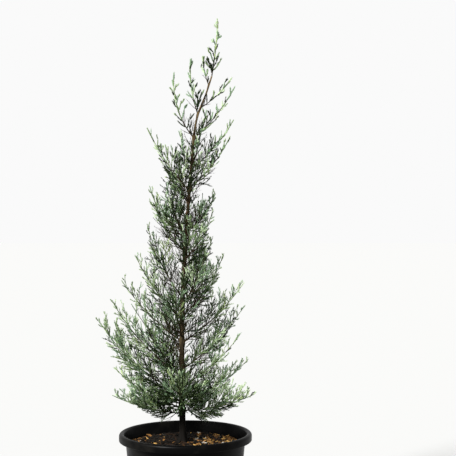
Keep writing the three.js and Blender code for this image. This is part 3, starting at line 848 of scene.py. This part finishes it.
def bark_material(sizes):
    """Thin stringy bark: near black at the foot, old bark with painted shade of the crown, olive brown, red
    brown two thirds up, tan near the leader.
    """
    material, tree, place = new_material("Stringy cypress bark")
    height = add_node(tree, "SeparateXYZ", {"Vector": place}).outputs["Z"]
    ends = {"From Min": TRUNK_LOW.z, "From Max": TRUNK_HIGH.z}
    level = add_node(tree, "MapRange", {"Value": height, **ends})
    ramp = add_node(tree, "ValToRGB", {"Fac": level.outputs["Result"]})
    ramp.color_ramp.elements[0].color = opaque(sizes.old_shaded)
    ramp.color_ramp.elements[1].color = opaque(sizes.young)
    for share, colour in BARK_STOPS:
        ramp.color_ramp.elements.new(share).color = opaque(getattr(sizes, colour))
    stretch = (per_metre(sizes.furrow), per_metre(sizes.furrow), per_metre(sizes.plate))
    strips = add_node(tree, "Mapping", {"Vector": place, "Scale": stretch}).outputs["Vector"]
    strip = add_node(tree, "TexNoise", {"Vector": strips, "Scale": 1.0, "Detail": 6.0}).outputs["Fac"]
    furrow = add_node(tree, "MapRange", {"Value": strip, "From Min": 0.35, "From Max": 0.55})
    paints = {"Factor": furrow.outputs["Result"], "A": opaque(sizes.furrows), "B": ramp.outputs["Color"]}
    colour = add_node(tree, "Mix", paints, data_type="RGBA")
    bump = add_node(tree, "Bump", {"Height": strip, "Strength": 0.6, "Distance": 0.3 * MM})
    rough = {
        "Base Color": colour.outputs["Result"],
        "Roughness": 0.82,
        "Specular IOR Level": 0.06,
        "Normal": bump.outputs["Normal"],
    }
    surface = add_node(tree, "BsdfPrincipled", rough)
    add_node(tree, "OutputMaterial", {"Surface": surface.outputs["BSDF"]})
    return material


def mottled_material(name, colour, pattern, shades, gloss):
    """A colour that is darker and lighter in patches, with the gloss that is given."""
    material, tree, place = new_material(name)
    patch = add_node(tree, "TexNoise", {"Vector": place, **pattern}).outputs["Fac"]
    shade = add_node(tree, "MapRange", {"Value": patch, "To Min": shades[0], "To Max": shades[1]})
    paints = {"Factor": 1.0, "A": opaque(colour), "B": shade.outputs["Result"]}
    tone = add_node(tree, "Mix", paints, data_type="RGBA", blend_type="MULTIPLY")
    surface = add_node(tree, "BsdfPrincipled", {"Base Color": tone.outputs["Result"], **gloss})
    add_node(tree, "OutputMaterial", {"Surface": surface.outputs["BSDF"]})
    return material


def chip_material(name, colour):
    """Broken wood or bark: dull, with fibres. They are drawn coarser than life, so that they show."""
    fibres = {"Scale": per_metre(1.2 * MM), "Detail": 4.0}
    dull = {"Roughness": 0.85, "Specular IOR Level": 0.08}
    return mottled_material(name, colour, fibres, (0.55, 1.35), dull)


def leaf_material(name, colour):
    """Small waxy scale leaves: a dull bloom over green, uneven from leaf to leaf."""
    bloom = {"Scale": per_metre(5 * MM), "Detail": 3.0}
    wax = {"Roughness": 0.6, "IOR": 1.45, "Specular IOR Level": 0.15}
    return mottled_material(name, colour, bloom, (0.72, 1.28), wax)


def floor_material(sizes):
    """Matt studio paper: no highlights."""
    material, tree, _ = new_material("Matt studio paper")
    matt = {"Base Color": opaque(sizes.paper), "Roughness": 1.0, "Specular IOR Level": 0.0}
    surface = add_node(tree, "BsdfPrincipled", matt)
    add_node(tree, "OutputMaterial", {"Surface": surface.outputs["BSDF"]})
    return material


def add_turned(name, profile, segments, fill="TRIFAN"):
    """A closed shape turned about Z: a disc, extruded and resized from point to point of its profile."""
    bpy.ops.object.select_all(action="DESELECT")
    radius, height = profile[0]
    bpy.ops.mesh.primitive_circle_add(
        vertices=segments, radius=radius, fill_type=fill, location=(0, 0, height)
    )
    made = bpy.context.object
    made.name = name
    bpy.ops.object.transform_apply(location=True, rotation=False, scale=False)
    bpy.ops.object.mode_set(mode="EDIT")
    for (radius, height), (next_radius, next_height) in zip(profile, profile[1:]):
        step = (0, 0, next_height - height)
        bpy.ops.mesh.extrude_region_move(TRANSFORM_OT_translate={"value": step})
        bpy.ops.transform.resize(value=(next_radius / radius, next_radius / radius, 1))
    bpy.ops.mesh.select_all(action="SELECT")
    bpy.ops.mesh.normals_make_consistent(inside=False)
    bpy.ops.object.mode_set(mode="OBJECT")
    return made


def add_column(name, sides, rings):
    """A closed column of unit radius and height, in even rings."""
    return add_turned(name, [(1, ring / rings) for ring in range(rings + 1)], sides)


def arc(centre, radius, first, last, steps):
    """Points of a profile on an arc, with angles in degrees."""
    angles = np.radians(np.linspace(first, last, steps + 1))
    return [(centre[0] + radius * math.cos(a), centre[1] + radius * math.sin(a)) for a in angles]


def pot_inner_radius(sizes, height):
    outer = blend((sizes.base_radius, sizes.body_radius), height / (sizes.height - sizes.lip_drop))
    return outer - sizes.wall


class CYPRESS_OT_pot(Operator):
    """Turns the nursery pot and drills its drain holes"""

    bl_idname = "cypress.pot"
    bl_label = "Pot"

    SEGMENTS = 120
    BODY_RINGS = 6
    EDGE = 1.2 * MM
    DRAIN_SIDES = 32
    DRILL_FLOORS = 4
    MERGE = 0.02 * MM
    SHARP = math.radians(35)

    def profile(self, sizes):
        """Up the outside, over the rolled lip and down the inside to the floor."""
        lip_foot = sizes.height - sizes.lip_drop
        roll = (sizes.rim_radius - sizes.mouth_radius) / 2
        edge = self.EDGE
        points = arc((sizes.base_radius - sizes.round, sizes.round), sizes.round, -90, 0, steps=5)
        for share in np.linspace(0, 1, self.BODY_RINGS)[1:]:
            height = blend((sizes.round, lip_foot - edge), share)
            points.append((pot_inner_radius(sizes, height) + sizes.wall, height))
        points += arc((sizes.body_radius + edge, lip_foot - edge), edge, 180, 90, steps=3)[1:]
        points += arc((sizes.rim_radius - edge, lip_foot + edge), edge, -90, 0, steps=4)
        points += arc((sizes.rim_radius - roll, sizes.height - roll), roll, 0, 180, steps=12)
        for share in np.linspace(0, 1, self.BODY_RINGS):
            height = blend((lip_foot - sizes.wall, sizes.floor + sizes.round), share)
            points.append((pot_inner_radius(sizes, height), height))
        inner = pot_inner_radius(sizes, sizes.floor) - sizes.round
        points += arc((inner, sizes.floor + sizes.round), sizes.round, 0, -90, steps=4)[1:]
        return points

    def drill(self, pot, sizes):
        """Cuts the drain holes and merges what the cuts leave too close together."""
        bpy.ops.object.select_all(action="DESELECT")
        depth = self.DRILL_FLOORS * sizes.floor
        for angle in np.linspace(0, 2 * math.pi, sizes.drains, endpoint=False):
            place = (sizes.drain_ring * math.cos(angle), sizes.drain_ring * math.sin(angle), 0)
            bpy.ops.mesh.primitive_cylinder_add(
                vertices=self.DRAIN_SIDES, radius=sizes.drain_radius, depth=depth, location=place
            )
            bpy.ops.object.transform_apply(location=True)
            drill = bpy.context.object
            bpy.context.view_layer.objects.active = pot
            bpy.ops.object.modifier_add(type="BOOLEAN")
            cut = pot.modifiers[-1]
            cut.operation = "DIFFERENCE"
            cut.object = drill
            bpy.ops.object.modifier_apply(modifier=cut.name)
            bpy.data.objects.remove(drill)
        bpy.ops.object.mode_set(mode="EDIT")
        bpy.ops.mesh.select_all(action="SELECT")
        bpy.ops.mesh.remove_doubles(threshold=self.MERGE)
        bpy.ops.mesh.dissolve_degenerate(threshold=self.MERGE)
        bpy.ops.object.mode_set(mode="OBJECT")

    def execute(self, context):
        sizes = context.scene.cypress_pot
        pot = add_turned("nursery_pot", self.profile(sizes), self.SEGMENTS, "NGON")
        self.drill(pot, sizes)
        bpy.ops.object.select_all(action="DESELECT")
        pot.select_set(True)
        context.view_layer.objects.active = pot
        bpy.ops.object.shade_smooth_by_angle(angle=self.SHARP)
        pot.data.materials.append(pot_material(sizes))
        settle(pot, "pot_plastic", "pot")
        return {"FINISHED"}


def mix_height(x, y, relief):
    """Height of the mix: slightly mounded to the trunk's foot, with lumps of two sizes."""
    fall = MIX_FALL * min(1, math.hypot(x, y) / MIX_HIGH.x)
    lumps = sum(high * noise.noise(Vector((x, y, layer)) / wide) for layer, wide, high in MIX_LUMPS)
    return MIX_HIGH.z - fall + relief * lumps


def turned(u, v, angle):
    """Two coordinates turned by angles, one for each row."""
    cosine, sine = np.cos(angle)[:, None], np.sin(angle)[:, None]
    return u * cosine - v * sine, u * sine + v * cosine


class CYPRESS_OT_mix(Operator):
    """Fills the pot with potting mix and strews its chips"""

    bl_idname = "cypress.mix"
    bl_label = "Potting mix"

    SEGMENTS = 180
    RINGS = 56

    # The plug's gap to the pot's wall, its foot's lift and inset, and two steps under its edge.
    WALL_GAP = 0.3 * MM
    FOOT_LIFT = 6 * MM
    FOOT_INSET = 4 * MM
    STEP_INSET = 0.4 * MM
    STEP_DROPS = (8 * MM, 2 * MM)

    # A chip is a box with uneven corners. Lengths run up from the shortest, widths and depths are shares
    # of the length, and a chip is raised by a share of its depth.
    CHIP_RANK = np.array((
        (-1, -1, -1), (1, -1, -1), (1, 1, -1), (-1, 1, -1), (-1, -1, 1), (1, -1, 1), (1, 1, 1), (-1, 1, 1)
    )) / 2
    CHIP_FACES = np.array((
        (0, 3, 2, 1), (4, 5, 6, 7), (0, 1, 5, 4), (1, 2, 6, 5), (2, 3, 7, 6), (3, 0, 4, 7)
    ))
    CHIP_KINDS = ("bark", "brown", "tan", "straw", "grit")
    TRUNK_ROOM = 11 * MM
    WALL_ROOM = 4 * MM
    SHORTEST = 2 * MM
    SIZE_SPREAD = (1.3, 4.0)
    WIDTHS = (0.18, 0.5)
    DEPTHS = (0.1, 0.25)
    CORNERS = (0.55, 1.15)
    TILT = 0.22
    RAISED = 0.35

    # Pale chips: their least and most share, and the weight and power of their growth towards the right, the
    # left and the front. Then the share of tan among them, of brown among the rest, and of grit.
    PALE_LIMITS = (0.02, 0.5)
    # The growth towards the right, the front and the left edge is partly painted light, and the dark middle
    # under the crown is painted shade.
    PAINTED_LIGHT_GROWTH = ((1.0, 1.2), (0.45, 4), (0.8, 1.5))
    TAN_SHARE = 0.62
    BROWN_SHARE = 0.22
    GRIT_SHARE = 0.008

    def plug(self, sizes, pot):
        """The filling, with a lumpy top. Gives back the radius of its edge."""
        height = MIX_HIGH.z - MIX_FALL
        edge = pot_inner_radius(pot, height) - self.WALL_GAP
        foot = pot_inner_radius(pot, MIX_LOW.z + self.FOOT_LIFT) - self.FOOT_INSET
        lower, upper = (height - drop for drop in self.STEP_DROPS)
        profile = [(foot, MIX_LOW.z), (edge - self.STEP_INSET, lower), (edge, upper)]
        profile += [(edge * (1 - i / self.RINGS), height) for i in range(self.RINGS)]
        plug = add_turned("potting_mix", profile, self.SEGMENTS)
        for vertex in plug.data.vertices:
            if vertex.co.z > (upper + height) / 2:
                vertex.co.z = mix_height(vertex.co.x, vertex.co.y, sizes.relief)
        plug.data.shade_smooth()
        plug.data.materials.append(mix_material(sizes))
        settle(plug, "potting_mix", "soil")
        return edge

    def strew(self, sizes, edge):
        """The corners of the chips and grains, and each one's kind."""
        random = np.random.default_rng(SEED)
        count = sizes.chips
        away = np.sqrt(random.uniform((self.TRUNK_ROOM / edge) ** 2, 1, count)) * (edge - self.WALL_ROOM)
        angle = random.uniform(0, 2 * math.pi, count)
        x, y = away * np.cos(angle), away * np.sin(angle)
        long = blend((self.SHORTEST, sizes.chip_length), random.beta(*self.SIZE_SPREAD, count))
        wide, deep = (long * random.uniform(*limits, count) for limits in (self.WIDTHS, self.DEPTHS))
        box = np.stack([long, wide, deep], axis=1)[:, None]
        corners = self.CHIP_RANK * random.uniform(*self.CORNERS, (count, 8, 3)) * box
        tilt = random.normal(0, self.TILT, count)
        turn = random.uniform(0, 2 * math.pi, count)
        u, w = turned(corners[..., 0], corners[..., 2], tilt)
        u, v = turned(u, corners[..., 1], turn)
        ground = np.array([mix_height(*spot, sizes.relief) for spot in zip(x, y)])
        place = np.stack([x, y, ground + self.RAISED * deep], axis=1)[:, None]
        return np.stack([u, v, w], axis=-1) + place, self.deal(x, y, edge, random)

    def deal(self, x, y, edge, random):
        """A kind for each chip: pale wood to the right, along the front and at the left edge, in part painted
        light, and dark chips in the middle as painted shade.
        """
        parts = (np.clip(part / edge, 0, 1) for part in (x, -x, -y))
        least, most = self.PALE_LIMITS
        growth = sum(weight * part**power for part, (weight, power) in zip(parts, self.PAINTED_LIGHT_GROWTH))
        pale = np.minimum(least + growth, most)
        roll = random.random(len(x))
        shares = (self.TAN_SHARE * pale, pale, blend((self.BROWN_SHARE, 1), pale))
        names = ("tan", "straw", "brown")
        numbers = [self.CHIP_KINDS.index(name) for name in names]
        kind = np.select([roll < share for share in shares], numbers, self.CHIP_KINDS.index("bark"))
        kind[random.random(len(x)) < self.GRIT_SHARE] = self.CHIP_KINDS.index("grit")
        return kind

    def execute(self, context):
        sizes = context.scene.cypress_mix
        edge = self.plug(sizes, context.scene.cypress_pot)
        chips, kinds = self.strew(sizes, edge)
        for number, name in enumerate(self.CHIP_KINDS):
            corners = chips[kinds == number]
            faces = (8 * np.arange(len(corners))[:, None, None] + self.CHIP_FACES).reshape(-1, 4)
            material = chip_material(f"Broken {name} chips", getattr(sizes, name))
            settle(add_mesh(f"chips_{name}", corners.reshape(-1, 3), faces, material), "potting_mix")
        return {"FINISHED"}


def bark_height(across, along_stem, radius, sizes):
    """Relief of the bark: furrows that run along the stem, broken into strips."""
    ring = Vector((across[0], across[1], 0)) * radius / sizes.furrow
    ring.z = along_stem / sizes.plate
    share, scale = FINE_FURROWS
    return abs(noise.noise(ring)) + share * abs(noise.noise(ring * scale)) - BARK_LEVEL


class CYPRESS_OT_trunk(Operator):
    """Wraps a barked column on the trunk's line"""

    bl_idname = "cypress.trunk"
    bl_label = "Trunk"

    SIDES = 28
    RINGS = 300
    SUNK = 2.5 * MM

    # Root lobes: their count, turn and depth.
    LOBES = (5, 1, 0.175)

    # A limb's collar: its height, its lift over the limb's middle, how many heights it shows for, how
    # far it swells against the limb's radius, and how closely it keeps to the limb's side.
    COLLAR = 4.5 * MM
    COLLAR_LIFT = 1 * MM
    COLLAR_RANGE = 3
    COLLAR_SWELL = 0.5
    COLLAR_FOCUS = 4

    def collars(self, angle, height):
        """Swellings where the limbs leave the trunk."""
        swell = 0
        for limb in LIMBS[:-1]:
            lift = (height - limb.height - self.COLLAR_LIFT) / self.COLLAR
            if abs(lift) < self.COLLAR_RANGE:
                facing = max(0, math.cos(angle) * limb.out[0] + math.sin(angle) * limb.out[1])
                shown = facing**self.COLLAR_FOCUS * math.exp(-(lift**2))
                swell += self.COLLAR_SWELL * limb.base_radius * shown
        return swell

    def execute(self, context):
        sizes = context.scene.cypress_wood
        trunk = add_column("barked_trunk", self.SIDES, self.RINGS)
        count, turn, depth = self.LOBES
        for vertex in trunk.data.vertices:
            height = blend((TRUNK_FOOT - self.SUNK, TRUNK_TIP), vertex.co.z)
            radius = float(trunk_radius(height))
            angle = math.atan2(vertex.co.y, vertex.co.x)
            lobes = 1 + depth * math.sin(count * angle + turn) * float(root_flare(height))
            relief = sizes.relief * min(1, radius / TRUNK_FOOT_RADIUS)
            rise = relief * bark_height(vertex.co, height, radius, sizes) + self.collars(angle, height)
            away = vertex.co.xy.length * (radius * lobes + rise)
            lean = float(trunk_lean(height))
            vertex.co = (lean + away * math.cos(angle), away * math.sin(angle), height)
        trunk.data.shade_smooth()
        trunk.data.materials.append(bark_material(sizes))
        settle(trunk, "bark", "trunk")
        return {"FINISHED"}


class CYPRESS_OT_boughs(Operator):
    """Wraps a barked column on each bough's line"""

    bl_idname = "cypress.boughs"
    bl_label = "Boughs"

    SIDES = 14
    RINGS = 26
    INTO_MASS = 2 * MM
    RELIEF = 0.6

    def execute(self, context):
        sizes = context.scene.cypress_wood
        material = bark_material(sizes)
        for limb in LIMBS:
            if limb.has_bough:
                bough = add_column(f"barked_bough_{limb.name}", self.SIDES, self.RINGS)
                self.wrap(bough, limb, sizes)
                bough.data.materials.append(material)
                settle(bough, "bark", f"bough_{limb.name}")
        return {"FINISHED"}

    def wrap(self, bough, limb, sizes):
        end = limb.mass_from + self.INTO_MASS
        for vertex in bough.data.vertices:
            distance = np.array([blend((limb.foot, end), vertex.co.z)])
            radius = float(limb.radii(distance)[0])
            rise = self.RELIEF * sizes.relief * bark_height(vertex.co, float(distance[0]), radius, sizes)
            over = np.cross(limb.directions(distance)[0], limb.side)
            offset = vertex.co.x * limb.side + vertex.co.y * over
            vertex.co = limb.points(distance)[0] + offset * (radius + rise)
        bough.data.shade_smooth()


class CYPRESS_OT_foliage(Operator):
    """Grows the twigs, shoots and scale leaves of every foliage mass"""

    bl_idname = "cypress.foliage"
    bl_label = "Foliage"

    STEM_STEPS = 22
    STEM_SIDES = 6
    STEM_END = 0.97
    TWIG_SIDES = 4
    TWIG_TAPER = 0.8

    def add_wood(self, twigs, sizes):
        """Stems of the masses and cores of the twigs."""
        points, radii = [], []
        for limb in LIMBS:
            distance = np.linspace(limb.mass_from, self.STEM_END * limb.reach, self.STEM_STEPS)
            points.append(limb.points(distance))
            radii.append(limb.radii(distance))
        stems = tubes(np.array(points), np.array(radii), self.STEM_SIDES)
        share = np.linspace(0, 1, TWIG_STEPS)
        count = len(twigs.length)
        line, _ = along(twigs, np.repeat(np.arange(count), TWIG_STEPS), np.tile(share, count))
        thin = twigs.radius[:, None] * (1 - self.TWIG_TAPER * share)
        cores = tubes(line.reshape(-1, TWIG_STEPS, 3), thin, self.TWIG_SIDES)
        vertices = np.concatenate([stems[0], cores[0]])
        faces = np.concatenate([stems[1], cores[1] + len(stems[0])])
        material = chip_material("Thin twig bark", sizes.twig)
        settle(add_mesh("twig_wood", vertices, faces, material), "bark", *FOLIAGE_NODES)

    def add_cores(self, name, shoots, material, slot):
        """Cores of branchlets and shoots."""
        settle(add_mesh(name, *tetrahedra(spikes(shoots)), material), slot, *FOLIAGE_NODES)

    def add_leaves(self, leaves, tints, sizes):
        """Leaves joined by colour, in pieces that stay under the limit of triangles."""
        most = PIECE_TRIANGLES // LEAF_FACES
        for number, tint in enumerate(LEAF_TINTS):
            rows = leaves[tints == number]
            material = leaf_material(f"Waxy {tint} scale leaves", getattr(sizes, tint))
            for part in range(math.ceil(len(rows) / most)):
                vertices, faces = tetrahedra(rows[part * most : (part + 1) * most])
                piece = add_mesh(f"leaves_{tint}_{part + 1}", vertices, faces, material)
                settle(piece, "foliage", *FOLIAGE_NODES)

    def execute(self, context):
        sizes, wood = context.scene.cypress_foliage, context.scene.cypress_wood
        twigs, fine, stems = grow_foliage(sizes)
        self.add_wood(twigs, wood)
        bare = fine.tint == BARE
        dry, green = chip_material("Dry twig bark", wood.twig), leaf_material("Green shoot skin", sizes.core)
        self.add_cores("bare_twigs", chosen(fine, bare), dry, "bark")
        self.add_cores("green_shoots", chosen(fine, ~bare), green, "foliage")
        leafy = joined(twigs, fine, stems)
        leafy = chosen(leafy, leafy.tint != BARE)
        leaves, tints = scale_leaves(leafy, sizes, np.random.default_rng(SEED + 1))
        self.add_leaves(leaves, tints, sizes)
        return {"FINISHED"}


class CYPRESS_OT_stage(Operator):
    """Sets the camera, the light and the floor"""

    bl_idname = "cypress.stage"
    bl_label = "Stage"

    FLOOR_SIDES = 96
    KEY_PLACE = (-2, -3, 3)
    KEY_AIM = (0.55, 0.62, -0.56)
    KEY_SPREAD = math.radians(14)
    SENSOR = 36

    def add_floor(self, sizes):
        bpy.ops.object.select_all(action="DESELECT")
        bpy.ops.mesh.primitive_circle_add(
            vertices=self.FLOOR_SIDES, radius=sizes.floor_radius, fill_type="NGON"
        )
        floor = bpy.context.object
        floor.name = "studio_floor"
        floor.data.materials.append(floor_material(sizes))

    def add_key(self, sizes):
        bpy.ops.object.light_add(type="SUN", location=self.KEY_PLACE)
        light = bpy.context.object
        light.name = "key_light"
        light.data.energy = sizes.key
        light.data.angle = self.KEY_SPREAD
        light.rotation_euler = Vector(self.KEY_AIM).to_track_quat("-Z", "Y").to_euler()

    def execute(self, context):
        sizes = context.scene.cypress_stage
        self.add_floor(sizes)
        self.add_key(sizes)
        world = bpy.data.worlds.new("Soft white studio")
        world.use_nodes = True
        sky = world.node_tree.nodes["Background"]
        sky.inputs["Color"].default_value = opaque(sizes.sky)
        sky.inputs["Strength"].default_value = sizes.fill
        context.scene.world = world
        context.scene.view_settings.view_transform = "Standard"
        bpy.ops.object.camera_add(location=sizes.eye, rotation=(math.pi / 2, 0, 0))
        camera = bpy.context.object
        camera.data.lens = sizes.lens
        camera.data.sensor_width = self.SENSOR
        context.scene.camera = camera
        return {"FINISHED"}


OPERATORS = (
    CYPRESS_OT_pot,
    CYPRESS_OT_mix,
    CYPRESS_OT_trunk,
    CYPRESS_OT_boughs,
    CYPRESS_OT_foliage,
    CYPRESS_OT_stage,
)
SETTINGS = {
    "cypress_pot": PotSizes,
    "cypress_mix": MixSizes,
    "cypress_wood": WoodSizes,
    "cypress_foliage": FoliageSizes,
    "cypress_stage": StageSizes,
}


class CYPRESS_PT_panel(Panel):
    """Lists the plant's operators and their settings"""

    bl_idname = "CYPRESS_PT_panel"
    bl_label = "Potted cypress"
    bl_space_type = "VIEW_3D"
    bl_region_type = "UI"
    bl_category = "Cypress"

    def draw(self, context):
        for operator in OPERATORS:
            self.layout.operator(operator.bl_idname)
        for name in SETTINGS:
            group = getattr(context.scene, name)
            box = self.layout.box()
            for field in group.__annotations__:
                box.prop(group, field)


CLASSES = (*SETTINGS.values(), *OPERATORS, CYPRESS_PT_panel)


def register():
    for kind in CLASSES:
        bpy.utils.register_class(kind)
    for name, kind in SETTINGS.items():
        setattr(bpy.types.Scene, name, PointerProperty(type=kind))


def unregister():
    for name in SETTINGS:
        delattr(bpy.types.Scene, name)
    for kind in reversed(CLASSES):
        bpy.utils.unregister_class(kind)


def main():
    register()
    bpy.ops.cypress.pot()
    bpy.ops.cypress.mix()
    bpy.ops.cypress.trunk()
    bpy.ops.cypress.boughs()
    bpy.ops.cypress.foliage()
    bpy.ops.cypress.stage()


if __name__ == "__main__":
    main()
